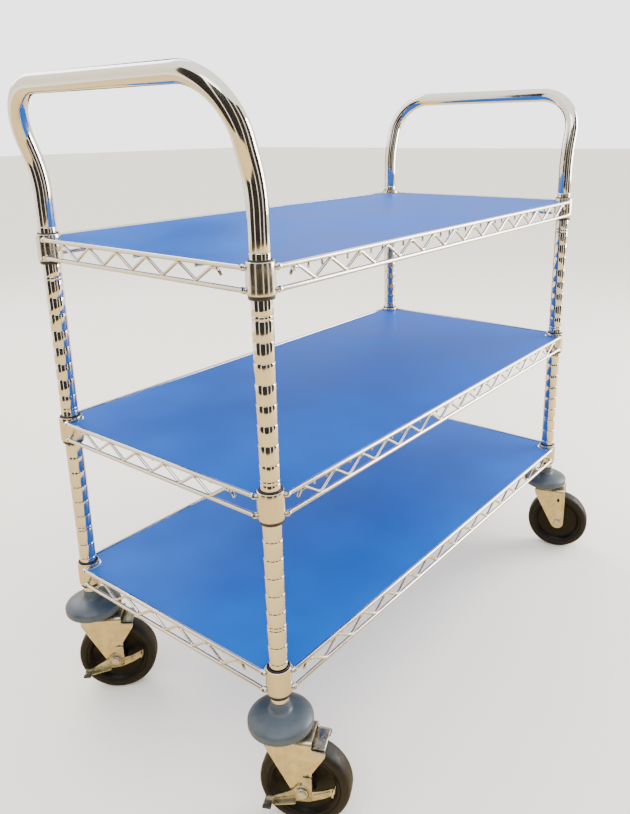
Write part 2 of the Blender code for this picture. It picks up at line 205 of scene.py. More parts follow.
def lathe(profile, sides, at=(0.0, 0.0, 0.0)):
    """Turn (radius, height) pairs round Z: x = r cos a, y = r sin a, z = height."""
    profile = np.array(profile, float)
    turn = np.arange(sides) / sides * TAU
    grid = np.empty((len(profile), sides, 3))
    grid[..., 0] = profile[:, :1] * np.cos(turn) + at[0]
    grid[..., 1] = profile[:, :1] * np.sin(turn) + at[1]
    grid[..., 2] = profile[:, 1:] + at[2]
    closed = profile[0, 0] > 0.0
    return grid, closed, True


def rounded(corners, radii, steps=6):
    """A path through corners with each bend turned into an arc-like curve.

    Each bend runs from a point before the corner to one after it, as a quadratic curve
    (1-t)^2 a + 2t(1-t) corner + t^2 b, with a and b one radius along the two legs.
    """
    corners = np.array(corners, float)
    path = [corners[:1]]
    t = np.linspace(0.0, 1.0, steps + 1)[:, None]
    for before, corner, after, radius in zip(corners, corners[1:], corners[2:], radii):
        leg_in = before - corner
        leg_out = after - corner
        reach_in = min(radius, np.linalg.norm(leg_in) * 0.49)
        reach_out = min(radius, np.linalg.norm(leg_out) * 0.49)
        a = corner + leg_in / np.linalg.norm(leg_in) * reach_in
        b = corner + leg_out / np.linalg.norm(leg_out) * reach_out
        path.append((1 - t) ** 2 * a + 2 * t * (1 - t) * corner + t ** 2 * b)
    path.append(corners[-1:])
    return np.concatenate(path)


def tangents(path):
    """Unit direction of travel at each point, the mean of the steps before and after it."""
    step = np.diff(path, axis=0)
    step /= np.linalg.norm(step, axis=1, keepdims=True)
    way = np.concatenate([step[:1], step[:-1] + step[1:], step[-1:]])
    return way / np.linalg.norm(way, axis=1, keepdims=True)


def tube(path, radius, sides, flat, ends=0.35):
    """Carry a circle along a path that lies in a plane whose normal is flat.

    point = path + radius (cos a * flat + sin a * (travel x flat)), with a rounded end:
    the radius falls to nothing over a short dome at both ends.
    """
    path = np.asarray(path, float)
    way = tangents(path)
    dome = np.array([0.0, 0.6, 0.88, 1.0])
    lift = (1.0 - np.sqrt(1.0 - dome ** 2)) * radius * ends
    start = path[0] + way[0] * lift[:, None]
    finish = path[-1] - way[-1] * lift[::-1, None]
    path = np.concatenate([start, path[1:-1], finish])
    size = np.concatenate([dome, np.ones(len(path) - 8), dome[::-1]]) * radius
    way = tangents(np.concatenate([path[3:4] - way[0], path[3:-3], path[-4:-3] + way[-1]]))[1:-1]
    way = np.concatenate([np.repeat(way[:1], 3, 0), way, np.repeat(way[-1:], 3, 0)])
    flat = np.broadcast_to(np.asarray(flat, float), way.shape)
    across = np.cross(way, flat)
    turn = np.arange(sides) / sides * TAU
    grid = (
        path[:, None]
        + size[:, None, None] * np.cos(turn)[None, :, None] * flat[:, None]
        + size[:, None, None] * np.sin(turn)[None, :, None] * across[:, None]
    )
    return grid, False, True


# ---------------------------------------------------------------- materials

def linear(code, alpha=1.0):
    """An sRGB hex colour as linear RGBA."""
    values = [int(code[i:i + 2], 16) / 255 for i in (1, 3, 5)]
    return (*[v / 12.92 if v <= 0.04045 else ((v + 0.055) / 1.055) ** 2.4 for v in values], alpha)


def add(tree, kind, settings=None, links=None, into=None):
    """Add a node with its settings, link sockets into it and its first output onward."""
    node = tree.nodes.new(kind)
    for key, value in (settings or {}).items():
        if key in node.inputs:
            node.inputs[key].default_value = value
        else:
            setattr(node, key, value)
    for key, socket in (links or {}).items():
        tree.links.new(socket, node.inputs[key])
    if into:
        tree.links.new(node.outputs[0], into)
    return node


def start_material(name, settings):
    """A material with its Principled settings, and its tree, shader and object coordinates."""
    material = bpy.data.materials.new(name)
    material.use_nodes = True
    tree = material.node_tree
    shader = tree.nodes["Principled BSDF"]
    for key, value in settings.items():
        shader.inputs[key].default_value = value
    place = add(tree, "ShaderNodeTexCoord").outputs["Object"]
    return material, tree, shader, place


def per_metre(millimetre_size):
    """Noise scale whose features are about this many millimetres across."""
    return 1000.0 / millimetre_size


def chrome_plated_tube():
    """Bright nickel-chrome on drawn tube: mirror-like, with faint long draw waves and haze."""
    material, tree, shader, place = start_material("chrome_plated_tube", {
        "Base Color": linear("#dcd9d2"), "Metallic": 1.0, "Roughness": 0.07,
    })
    stretched = add(tree, "ShaderNodeMapping", {"Scale": (1.0, 1.0, 0.12)}, {"Vector": place})
    waves = add(
        tree, "ShaderNodeTexNoise", {"Scale": per_metre(9), "Detail": 3.0},
        {"Vector": stretched.outputs["Vector"]},
    )
    haze = add(tree, "ShaderNodeTexNoise", {"Scale": per_metre(30), "Detail": 4.0}, {"Vector": place})
    add(
        tree, "ShaderNodeMapRange", {"From Min": 0.3, "From Max": 0.7, "To Min": 0.045, "To Max": 0.12},
        {"Value": haze.outputs["Fac"]}, shader.inputs["Roughness"],
    )
    add(
        tree, "ShaderNodeBump", {"Strength": 0.12, "Distance": 0.08 * MM},
        {"Height": waves.outputs["Fac"]}, shader.inputs["Normal"],
    )
    return material


def chrome_plated_wire():
    """Plated welded wire: bright, but softer than the tube, with a grain from the drawn wire."""
    material, tree, shader, place = start_material("chrome_plated_wire", {
        "Base Color": linear("#d9d7d2"), "Metallic": 1.0, "Roughness": 0.16,
    })
    grain = add(tree, "ShaderNodeTexNoise", {"Scale": per_metre(3), "Detail": 4.0}, {"Vector": place})
    patches = add(tree, "ShaderNodeTexNoise", {"Scale": per_metre(40), "Detail": 2.0}, {"Vector": place})
    add(
        tree, "ShaderNodeMapRange", {"From Min": 0.3, "From Max": 0.7, "To Min": 0.11, "To Max": 0.24},
        {"Value": patches.outputs["Fac"]}, shader.inputs["Roughness"],
    )
    add(
        tree, "ShaderNodeBump", {"Strength": 0.25, "Distance": 0.12 * MM},
        {"Height": grain.outputs["Fac"]}, shader.inputs["Normal"],
    )
    return material


def chrome_plated_collar():
    """Plated pressed collar: satin chrome with a slightly uneven sheen from its roughness; its warm cream
    base colour is painted reflection of a warm floor.
    """
    # Painted reflection: the warm cream base colour stands in for the warm floor that the collar mirrors.
    material, tree, shader, place = start_material("chrome_plated_collar", {
        "Base Color": linear("#d6cfbe"), "Metallic": 1.0, "Roughness": 0.18,
    })
    patches = add(tree, "ShaderNodeTexNoise", {"Scale": per_metre(12), "Detail": 4.0}, {"Vector": place})
    add(
        tree, "ShaderNodeMapRange", {"From Min": 0.3, "From Max": 0.7, "To Min": 0.12, "To Max": 0.26},
        {"Value": patches.outputs["Fac"]}, shader.inputs["Roughness"],
    )
    add(
        tree, "ShaderNodeBump", {"Strength": 0.2, "Distance": 0.15 * MM},
        {"Height": patches.outputs["Fac"]}, shader.inputs["Normal"],
    )
    return material


def blue_polymer_mat():
    """Calendered blue polymer sheet: a satin face with a soft light on it, faintly rippled."""
    material, tree, shader, place = start_material("blue_polymer_mat", {
        "Roughness": 0.48, "IOR": 1.45, "Specular IOR Level": 0.12,
    })
    cloud = add(tree, "ShaderNodeTexNoise", {"Scale": per_metre(160), "Detail": 2.0}, {"Vector": place})
    grain = add(tree, "ShaderNodeTexNoise", {"Scale": per_metre(2.2), "Detail": 3.0}, {"Vector": place})
    share = add(
        tree, "ShaderNodeMapRange", {"From Min": 0.35, "From Max": 0.65}, {"Value": cloud.outputs["Fac"]},
    )
    add(
        tree, "ShaderNodeMixRGB", {"Color1": linear("#0650b0"), "Color2": linear("#0a5abf")},
        {"Fac": share.outputs["Result"]}, shader.inputs["Base Color"],
    )
    add(
        tree, "ShaderNodeMapRange", {"From Min": 0.3, "From Max": 0.7, "To Min": 0.44, "To Max": 0.54},
        {"Value": cloud.outputs["Fac"]}, shader.inputs["Roughness"],
    )
    add(
        tree, "ShaderNodeBump", {"Strength": 0.18, "Distance": 0.05 * MM},
        {"Height": grain.outputs["Fac"]}, shader.inputs["Normal"],
    )
    return material


def moulded_black_nylon():
    """Injection-moulded black nylon sleeve: fine spark texture and a soft satin light."""
    material, tree, shader, place = start_material("moulded_black_nylon", {
        "Base Color": linear("#17171a"), "Roughness": 0.42, "IOR": 1.53,
    })
    spark = add(tree, "ShaderNodeTexNoise", {"Scale": per_metre(0.9), "Detail": 2.0}, {"Vector": place})
    add(
        tree, "ShaderNodeBump", {"Strength": 0.3, "Distance": 0.05 * MM},
        {"Height": spark.outputs["Fac"]}, shader.inputs["Normal"],
    )
    return material


def moulded_grey_rubber():
    """Moulded blue-grey bumper rubber: smooth, satin, with a faint bloom of paler dust."""
    material, tree, shader, place = start_material("moulded_grey_rubber", {
        "Roughness": 0.42, "IOR": 1.5, "Coat Weight": 0.12, "Coat Roughness": 0.3,
    })
    bloom = add(tree, "ShaderNodeTexNoise", {"Scale": per_metre(22), "Detail": 5.0}, {"Vector": place})
    grain = add(tree, "ShaderNodeTexNoise", {"Scale": per_metre(1.2), "Detail": 2.0}, {"Vector": place})
    share = add(
        tree, "ShaderNodeMapRange", {"From Min": 0.35, "From Max": 0.65}, {"Value": bloom.outputs["Fac"]},
    )
    add(
        tree, "ShaderNodeMixRGB", {"Color1": linear("#333f49"), "Color2": linear("#3d4955")},
        {"Fac": share.outputs["Result"]}, shader.inputs["Base Color"],
    )
    add(
        tree, "ShaderNodeMapRange", {"From Min": 0.3, "From Max": 0.7, "To Min": 0.36, "To Max": 0.5},
        {"Value": bloom.outputs["Fac"]}, shader.inputs["Roughness"],
    )
    add(
        tree, "ShaderNodeBump", {"Strength": 0.2, "Distance": 0.04 * MM},
        {"Height": grain.outputs["Fac"]}, shader.inputs["Normal"],
    )
    return material


def zinc_plated_pressing():
    """Pressed steel with bright zinc plate: straw-tinted metal with soft crystalline clouding."""
    material, tree, shader, place = start_material("zinc_plated_pressing", {
        "Metallic": 1.0, "Roughness": 0.28,
    })
    cloud = add(tree, "ShaderNodeTexNoise", {"Scale": per_metre(14), "Detail": 5.0}, {"Vector": place})
    spangle = add(tree, "ShaderNodeTexVoronoi", {"Scale": per_metre(2.4)}, {"Vector": place})
    share = add(
        tree, "ShaderNodeMapRange", {"From Min": 0.35, "From Max": 0.65}, {"Value": cloud.outputs["Fac"]},
    )
    add(
        tree, "ShaderNodeMixRGB", {"Color1": linear("#c6bc9c"), "Color2": linear("#dad2b6")},
        {"Fac": share.outputs["Result"]}, shader.inputs["Base Color"],
    )
    add(
        tree, "ShaderNodeMapRange", {"From Min": 0.3, "From Max": 0.7, "To Min": 0.22, "To Max": 0.36},
        {"Value": cloud.outputs["Fac"]}, shader.inputs["Roughness"],
    )
    add(
        tree, "ShaderNodeBump", {"Strength": 0.15, "Distance": 0.04 * MM},
        {"Height": spangle.outputs["Distance"]}, shader.inputs["Normal"],
    )
    return material


def zinc_plated_hardware():
    """Turned and barrel-plated bolts, races and stems: brighter zinc with fine turning rings."""
    material, tree, shader, place = start_material("zinc_plated_hardware", {
        "Base Color": linear("#c9c7bf"), "Metallic": 1.0, "Roughness": 0.24,
    })
    cloud = add(tree, "ShaderNodeTexNoise", {"Scale": per_metre(5), "Detail": 4.0}, {"Vector": place})
    add(
        tree, "ShaderNodeMapRange", {"From Min": 0.3, "From Max": 0.7, "To Min": 0.18, "To Max": 0.34},
        {"Value": cloud.outputs["Fac"]}, shader.inputs["Roughness"],
    )
    add(
        tree, "ShaderNodeBump", {"Strength": 0.2, "Distance": 0.05 * MM},
        {"Height": cloud.outputs["Fac"]}, shader.inputs["Normal"],
    )
    return material


def zinc_plated_brake():
    """Stamped brake steel: zinc plate with scuffs where feet and the tread rub it."""
    material, tree, shader, place = start_material("zinc_plated_brake", {
        "Metallic": 1.0, "Roughness": 0.3,
    })
    cloud = add(tree, "ShaderNodeTexNoise", {"Scale": per_metre(9), "Detail": 5.0}, {"Vector": place})
    share = add(
        tree, "ShaderNodeMapRange", {"From Min": 0.35, "From Max": 0.65}, {"Value": cloud.outputs["Fac"]},
    )
    add(
        tree, "ShaderNodeMixRGB", {"Color1": linear("#a7a48d"), "Color2": linear("#cdc8b2")},
        {"Fac": share.outputs["Result"]}, shader.inputs["Base Color"],
    )
    add(
        tree, "ShaderNodeMapRange", {"From Min": 0.3, "From Max": 0.7, "To Min": 0.22, "To Max": 0.42},
        {"Value": cloud.outputs["Fac"]}, shader.inputs["Roughness"],
    )
    add(
        tree, "ShaderNodeBump", {"Strength": 0.2, "Distance": 0.1 * MM},
        {"Height": cloud.outputs["Fac"]}, shader.inputs["Normal"],
    )
    return material


def moulded_wheel_core():
    """Glass-filled nylon wheel centre: near black, satin, with a trace of mould flow."""
    material, tree, shader, place = start_material("moulded_wheel_core", {
        "Base Color": linear("#060505"), "Roughness": 0.4, "IOR": 1.5,
        "Specular IOR Level": 0.25,
    })
    flow = add(tree, "ShaderNodeTexNoise", {"Scale": per_metre(16), "Detail": 3.0}, {"Vector": place})
    add(
        tree, "ShaderNodeMapRange", {"From Min": 0.3, "From Max": 0.7, "To Min": 0.32, "To Max": 0.5},
        {"Value": flow.outputs["Fac"]}, shader.inputs["Roughness"],
    )
    add(
        tree, "ShaderNodeBump", {"Strength": 0.1, "Distance": 0.1 * MM},
        {"Height": flow.outputs["Fac"]}, shader.inputs["Normal"],
    )
    return material


def cast_polyurethane_tyre():
    """Cast dark polyurethane tread: brown-black, dusty and scuffed to grey on the rolling face."""
    material, tree, shader, place = start_material("cast_polyurethane_tyre", {
        "Roughness": 0.5, "IOR": 1.5, "Specular IOR Level": 0.3,
    })
    dust = add(tree, "ShaderNodeTexNoise", {"Scale": per_metre(9), "Detail": 6.0}, {"Vector": place})
    grit = add(tree, "ShaderNodeTexNoise", {"Scale": per_metre(1.1), "Detail": 3.0}, {"Vector": place})
    share = add(
        tree, "ShaderNodeMapRange", {"From Min": 0.4, "From Max": 0.75}, {"Value": dust.outputs["Fac"]},
    )
    add(
        tree, "ShaderNodeMixRGB", {"Color1": linear("#0e0b09"), "Color2": linear("#1d1815")},
        {"Fac": share.outputs["Result"]}, shader.inputs["Base Color"],
    )
    add(
        tree, "ShaderNodeMapRange", {"From Min": 0.3, "From Max": 0.7, "To Min": 0.42, "To Max": 0.62},
        {"Value": dust.outputs["Fac"]}, shader.inputs["Roughness"],
    )
    add(
        tree, "ShaderNodeBump", {"Strength": 0.3, "Distance": 0.08 * MM},
        {"Height": grit.outputs["Fac"]}, shader.inputs["Normal"],
    )
    return material


def moulded_pedal_rubber():
    """Dipped rubber pad on the brake pedal: dull brown-black."""
    material, tree, shader, place = start_material("moulded_pedal_rubber", {
        "Base Color": linear("#2c2420"), "Roughness": 0.6,
    })
    grit = add(tree, "ShaderNodeTexNoise", {"Scale": per_metre(1.5), "Detail": 3.0}, {"Vector": place})
    add(
        tree, "ShaderNodeBump", {"Strength": 0.3, "Distance": 0.08 * MM},
        {"Height": grit.outputs["Fac"]}, shader.inputs["Normal"],
    )
    return material


# ---------------------------------------------------------------- end tubes

def end_tube_stations(side, foot, bar):
    """Centre points and lean angles of one end tube from foot to foot.

    The post stands straight, leans out round a wide bend, runs straight to the corner,
    turns a quarter circle in the leaning plane and crosses; the other half mirrors it.
    """
    post_x = side * SPAN_X / 2
    half = SPAN_Y / 2
    lean = np.array([side * math.sin(HANDLE_LEAN), 0.0, math.cos(HANDLE_LEAN)])
    bend = bar - BEND_BELOW_BAR
    tangent = BEND_RADIUS * math.tan(HANDLE_LEAN / 2)
    heights = post_heights(foot, bend - tangent)
    straight = np.stack([np.full_like(heights, post_x), np.full_like(heights, -half), heights], 1)
    turn = np.linspace(0.0, HANDLE_LEAN, 17)[1:]
    wide = np.stack([
        post_x + side * BEND_RADIUS * (1 - np.cos(turn)),
        np.full_like(turn, -half),
        bend - tangent + BEND_RADIUS * np.sin(turn),
    ], 1)
    top = wide[-1] + lean * ((bar - wide[-1][2]) / lean[2])
    centre = top - lean * CORNER_RADIUS + np.array([0.0, CORNER_RADIUS, 0.0])
    arc = np.linspace(0.0, math.pi / 2, 33)[:, None]
    across = np.array([0.0, 1.0, 0.0])
    corner = centre - across * CORNER_RADIUS * np.cos(arc) + lean * CORNER_RADIUS * np.sin(arc)
    crossing = np.linspace(corner[-1][1], 0.0, 9)[1:]
    bar_half = np.stack([np.full(8, corner[-1][0]), crossing, np.full(8, bar)], 1)
    path = np.concatenate([straight, wide, corner, bar_half])
    angle = np.concatenate([
        np.zeros(len(straight)), turn, np.full(len(corner) + len(bar_half), HANDLE_LEAN),
    ])
    mirrored = path[-2::-1] * np.array([1.0, -1.0, 1.0])
    return np.concatenate([path, mirrored]), np.concatenate([angle, angle[-2::-1]])


def groove_heights():
    """Heights of the ring grooves, one an inch, with a second one beside every eighth."""
    first = SHELF_Z["top"] - GROOVE_BELOW_TOP_COLLAR
    steps = np.arange(-GROOVES_ABOVE, GROOVES_BELOW + 1)
    singles = first - steps * GROOVE_PITCH
    doubles = first - steps[steps % DOUBLE_GROOVE_EVERY == 0] * GROOVE_PITCH + DOUBLE_GROOVE_GAP
    return np.concatenate([singles, doubles])


def post_heights(foot, top):
    """Ring heights up a post: close together through each groove, wide apart between."""
    through = np.array([-1.5, -1.0, -0.6, -0.25, 0.25, 0.6, 1.0, 1.5]) * GROOVE_HALF_WIDTH
    rings = (groove_heights()[:, None] + through).ravel()
    rings = rings[rings > foot + 1.0]
    return np.unique(np.concatenate([[foot], rings, np.linspace(foot, top, 12)[1:]]))


def groove_cut(height):
    """Depth of the groove profile at a height: a cosine dip half a pitch from none to full."""
    away = np.abs(height[:, None] - groove_heights()).min(axis=1)
    near = np.clip(away / (GROOVE_HALF_WIDTH * 1.4), 0.0, 1.0)
    return GROOVE_DEPTH * (0.5 + 0.5 * np.cos(near * math.pi))


def build_end_tube(end, side, material):
    """One grooved tube from foot to foot, with its wall and bore at both feet.

    Rings of radius R minus the groove cut follow the stations; at each foot the ring
    steps in to the bore, climbs inside and closes.
    """
    low, high = box_mm("end_tube_" + end)
    foot = low[2]
    path, angle = end_tube_stations(side, foot, high[2] - TUBE_RADIUS)
    way = tangents(path)
    radius = TUBE_RADIUS - np.where(angle == 0.0, groove_cut(path[:, 2]), 0.0)
    inner = np.array([foot + BORE_DEPTH, foot + BORE_DEPTH, foot + 0.4, foot, foot])
    inner_radius = np.array([0.0, TUBE_BORE, TUBE_BORE, TUBE_BORE + 0.4, TUBE_RADIUS - 0.4])
    start = np.stack([np.full(5, path[0][0]), np.full(5, path[0][1]), inner], 1)
    finish = start[::-1] * np.array([1.0, -1.0, 1.0])
    path[0, 2] = path[-1, 2] = foot + 0.4
    path = np.concatenate([start, path, finish])
    radius = np.concatenate([inner_radius, radius, inner_radius[::-1]])
    way = np.concatenate([np.repeat(way[:1], 5, 0), way, np.repeat(way[-1:], 5, 0)])
    angle = np.concatenate([np.zeros(5), angle, np.zeros(5)])
    outward = np.stack([side * np.cos(angle), np.zeros_like(angle), -np.sin(angle)], 1)
    across = np.cross(way, outward)
    turn = np.arange(48) / 48 * TAU
    grid = (
        path[:, None]
        + radius[:, None, None] * np.cos(turn)[None, :, None] * outward[:, None]
        + radius[:, None, None] * np.sin(turn)[None, :, None] * across[:, None]
    )
    grid[..., 1] += CENTRE_Y
    grid = np.clip(grid, low, high)
    node = "end_tube_" + end
    make_piece("grooved_tube_" + end, [(grid, False, True)], material, "cart", [node])


# ---------------------------------------------------------------- shelves

def shelf_sides():
    """Start point, direction, length and first truss peak of the four shelf sides."""
    reach = RAIL_OUTSET
    half_x = SPAN_X / 2
    half_y = SPAN_Y / 2
    for side in (-1, 1):
        yield (-half_x, side * (half_y + reach)), (1.0, 0.0), SPAN_X, 45.0
        yield (side * (half_x + reach), -half_y), (0.0, 1.0), SPAN_Y, 60.0


def on_side(start, along, distance, height, inset=0.0):
    """Points of a shelf side from distances along it and heights."""
    inward = np.array([-start[0], -start[1]]) * np.array([along[1], along[0]])
    inward = inward / np.linalg.norm(inward) * inset
    distance = np.atleast_1d(np.asarray(distance, float))
    height = np.broadcast_to(np.asarray(height, float), distance.shape)
    x = start[0] + along[0] * distance + inward[0]
    y = start[1] + along[1] * distance + inward[1] + CENTRE_Y
    return np.stack([x, y, height], 1)


def truss_path(start, along, length, first, height):
    """The zigzag wire: free end, flat first peak, then valleys and peaks with eased bends."""
    peak = height + TOP_RAIL - RAIL_RADIUS - TRUSS_RADIUS + 0.5
    valley = height + LOW_RAIL + RAIL_RADIUS + TRUSS_RADIUS - 0.5
    count = round((length - 2 * first) / TRUSS_PITCH)
    pitch = (length - 2 * first) / count
    distance = [first - 13.0, first - 8.0]
    level = [peak - 8.0, peak]
    for step in range(count + 1):
        here = first + step * pitch
        distance += [here - 3.0, here + 3.0]
        level += [peak, peak]
        if step < count:
            distance += [here + pitch / 2 - 2.0, here + pitch / 2 + 2.0]
            level += [valley, valley]
    distance += [length - first + 8.0, length - first + 13.0]
    level += [peak, peak - 8.0]
    corners = on_side(start, along, distance, np.array(level))
    keep = [0] + [i for i in range(1, len(corners)) if abs(distance[i] - distance[i - 1]) > 0.5]
    corners = corners[keep]
    return rounded(corners, [3.2] * (len(corners) - 2), 3)


def weld_fillet(centre, along, radius, flat):
    """A small lens of weld metal: radius r sqrt(1 - t^2) swelling along the wire."""
    t = np.sin(np.linspace(-math.pi / 2, math.pi / 2, 7))
    path = np.asarray(centre) + t[:, None] * np.asarray(along) * radius * 1.5
    size = radius * np.sqrt(np.clip(1 - t ** 2, 0, 1))
    flat = np.asarray(flat, float)
    across = np.cross(along, flat)
    turn = np.arange(8) / 8 * TAU
    grid = (
        path[:, None]
        + size[:, None, None] * np.cos(turn)[None, :, None] * flat
        + size[:, None, None] * np.sin(turn)[None, :, None] * across
    )
    return grid, False, True


def build_rails(level, height, material):
    """Two straight rails on each side, let into the collars, with their truss and welds."""
    grids = []
    welds = []
    for start, along, length, first in shelf_sides():
        flat = (-along[1], along[0], 0.0)
        way = np.array([along[0], along[1], 0.0])
        for rise in (TOP_RAIL, LOW_RAIL):
            ends = on_side(start, along, [RAIL_END, 24.0, length - 24.0, length - RAIL_END], height + rise)
            grids.append(tube(ends, RAIL_RADIUS, 16, (0.0, 0.0, 1.0)))
            for distance in (13.0, length - 13.0):
                centre = on_side(start, along, distance, height + rise)[0]
                welds.append(weld_fillet(centre, way, RAIL_RADIUS + 1.1, (0.0, 0.0, 1.0)))
        path = truss_path(start, along, length, first, height)
        grids.append(tube(path, TRUSS_RADIUS, 10, flat))
        count = round((length - 2 * first) / TRUSS_PITCH)
        pitch = (length - 2 * first) / count
        peaks = first + np.arange(count + 1) * pitch
        for distance in peaks:
            centre = on_side(start, along, distance, height + TOP_RAIL - RAIL_RADIUS - 0.3)[0]
            welds.append(weld_fillet(centre, way, TRUSS_RADIUS + 0.5, (0.0, 0.0, 1.0)))
        for distance in peaks[:-1] + pitch / 2:
            centre = on_side(start, along, distance, height + LOW_RAIL + RAIL_RADIUS + 0.3)[0]
            welds.append(weld_fillet(centre, way, TRUSS_RADIUS + 0.5, (0.0, 0.0, 1.0)))
    name = "shelf_rails_and_truss_" + level
    make_piece(name, grids + welds, material, "cart", ["shelf_frame_" + level])


def build_collars(level, height, material):
    """Four tapered collars with rolled edges round a bore that follows the sleeve."""
    top = COLLAR_HALF
    outer = COLLAR_RADIUS
    profile = [
        (14.9, top - 0.6), (15.4, top), (outer - 1.6, top), (outer - 0.9, top - 0.5),
        (outer - 0.5, top - 1.8), (outer - 0.3, top - 8.0), (outer - 0.15, 0.0),
        (outer - 0.05, -top + 6.0), (outer, -top + 2.0), (outer - 0.3, -top + 0.5),
        (outer - 0.8, -top), (16.3, -top), (15.9, -top + 0.6),
    ]
    grids = [lathe(profile, 64, (*POSTS[corner], height)) for corner in CORNERS]
    make_piece("shelf_collars_" + level, grids, material, "cart", ())


def build_deck(level, height, material):
    """Cross wires turned down at both rails, on three lengthwise ribs."""
    reach = SPAN_Y / 2 + RAIL_OUTSET - RAIL_RADIUS - DECK_RADIUS - 0.2
    z = height + TOP_RAIL - 1.0 - DECK_RADIUS
    count = int((SPAN_X - 60.0) / DECK_PITCH)
    grids = []
    for step in range(count):
        x = (step - (count - 1) / 2) * DECK_PITCH
        corners = [(x, -reach, z - 8.0), (x, -reach, z), (x, reach, z), (x, reach, z - 8.0)]
        path = rounded(corners, [3.0, 3.0], 4) + np.array([0.0, CENTRE_Y, 0.0])
        grids.append(tube(path, DECK_RADIUS, 8, (1.0, 0.0, 0.0)))
    end = SPAN_X / 2 + RAIL_OUTSET - RAIL_RADIUS - 0.2
    for place in (-0.55, 0.0, 0.55):
        y = CENTRE_Y + place * SPAN_Y / 2
        path = np.array([(x, y, z - 3.4) for x in (-end, -end + 9.0, end - 9.0, end)])
        grids.append(tube(path, 2.0, 10, (0.0, 0.0, 1.0)))
    name = "deck_wires_" + level
    make_piece(name, grids, material, "cart", ["shelf_deck_" + level])


def mat_outline(inset):
    """Outline of a mat as a closed loop: straight sides between arcs cut round each collar.

    Each corner is a circle of the notch radius about the post axis, kept where it lies
    inside the straight edges; the sides are sampled evenly between the arcs.
    """
    margin = RAIL_OUTSET - RAIL_RADIUS - 0.3 - inset
    notch = COLLAR_RADIUS + 2.0 + inset
    half_x = SPAN_X / 2 + margin
    half_y = SPAN_Y / 2 + margin
    reach = math.sqrt(notch ** 2 - margin ** 2)
    start = math.atan2(margin, -reach)
    end = math.atan2(-reach, margin) + TAU
    loop = []
    for sign_x, sign_y in ((1, 1), (-1, 1), (-1, -1), (1, -1)):
        turn = np.linspace(start, end, 15)
        if sign_x * sign_y > 0:
            turn = turn[::-1]
        arc = np.stack([
            sign_x * (half_x - margin + notch * np.cos(turn)),
            sign_y * (half_y - margin + notch * np.sin(turn)),
        ], 1)
        loop.append(arc)
    sides = []
    for here, after in zip(loop, loop[1:] + loop[:1]):
        steps = 60 if abs(here[-1][1] - after[0][1]) < 1.0 else 30
        t = np.linspace(0.0, 1.0, steps + 1)[1:-1, None]
        sides += [here, here[-1] * (1 - t) + after[0] * t]
    return np.concatenate(sides)


def build_mat(level, material):
    """A flat sheet with eased edges: the outline drawn in towards the centre in rings.

    The top carries very shallow waves, z = 0.25 mm sin(x/95) sin(y/60), as a laid sheet does.
    """
    low, high = box_mm("mat_" + level)
    edge = mat_outline(0.0)
    eased = mat_outline(0.6)
    rings = []
    for share in np.linspace(0.0, 1.0, 18):
        rings.append(np.column_stack([eased * share, np.full(len(eased), high[2])]))
    rings.append(np.column_stack([edge, np.full(len(edge), high[2] - 0.6)]))
    rings.append(np.column_stack([edge, np.full(len(edge), low[2] + 0.5)]))
    rings.append(np.column_stack([eased, np.full(len(edge), low[2])]))
    rings.append(np.column_stack([eased * 0.0, np.full(len(edge), low[2])]))
    grid = np.stack(rings)
    wave = np.sin(grid[:18, :, 0] / 95.0) * np.sin(grid[:18, :, 1] / 60.0)
    fade = (1.0 - np.linspace(0.0, 1.0, 18) ** 6)[:, None]
    grid[:18, :, 2] += (wave - 1.0) * 0.25 * fade
    grid[..., 1] += CENTRE_Y
    make_piece("shelf_mat_" + level, [(grid, False, True)], material, "cart", ["mat_" + level])


def build_sleeves(level, height, material):
    """Tapered two-part sleeves: the lip above and flange below each collar, split down both sides.

    The turned profile's radius dips at two opposite seams, r = r0 - dip exp(-(a/w)^2).
    """
    top = COLLAR_HALF
    profile = np.array([
        (13.5, top + 1.6), (13.8, top + 2.0), (14.1, top + 2.0), (14.5, top + 1.5), (14.5, top - 0.5),
        (15.05, 0.0), (15.55, -top + 0.5), (15.6, -top - 1.2), (15.6, -top - 4.3), (15.2, -top - 5.0),
        (14.0, -top - 5.0), (13.5, -top - 4.5),
    ])
    sides = 96
    turn = np.arange(sides) / sides * TAU
    seam = np.exp(-((np.abs(np.sin(turn - 0.9)) / 0.05) ** 2))
    outer = profile[:, 0] > 14.2
    grids = []
    for corner in CORNERS:
        radius = profile[:, :1] - np.where(outer[:, None], 0.7, 0.0) * seam
        grid = np.empty((len(profile), sides, 3))
        grid[..., 0] = radius * np.cos(turn) + POSTS[corner][0]
        grid[..., 1] = radius * np.sin(turn) + POSTS[corner][1]
        grid[..., 2] = profile[:, 1:] + height
        grids.append((grid, True, True))
    nodes = ["sleeve_" + level + "_" + corner for corner in CORNERS]
    make_piece("split_sleeves_" + level, grids, material, "cart", nodes)


# ---------------------------------------------------------------- bumpers and casters

def smooth_profile(points, steps=5):
    """A smooth line through turning points: a Catmull-Rom curve between each pair."""
    points = np.array(points, float)
    ends = np.concatenate([points[:1] * 2 - points[1:2], points, points[-1:] * 2 - points[-2:-1]])
    t = np.linspace(0.0, 1.0, steps, endpoint=False)[:, None]
    runs = []
    for p, q, r, s in zip(ends, ends[1:], ends[2:], ends[3:]):
        runs.append(0.5 * (
            2 * q + (r - p) * t + (2 * p - 5 * q + 4 * r - s) * t ** 2 + (3 * q - p - 3 * r + s) * t ** 3
        ))
    return np.concatenate(runs + [points[-1:]])


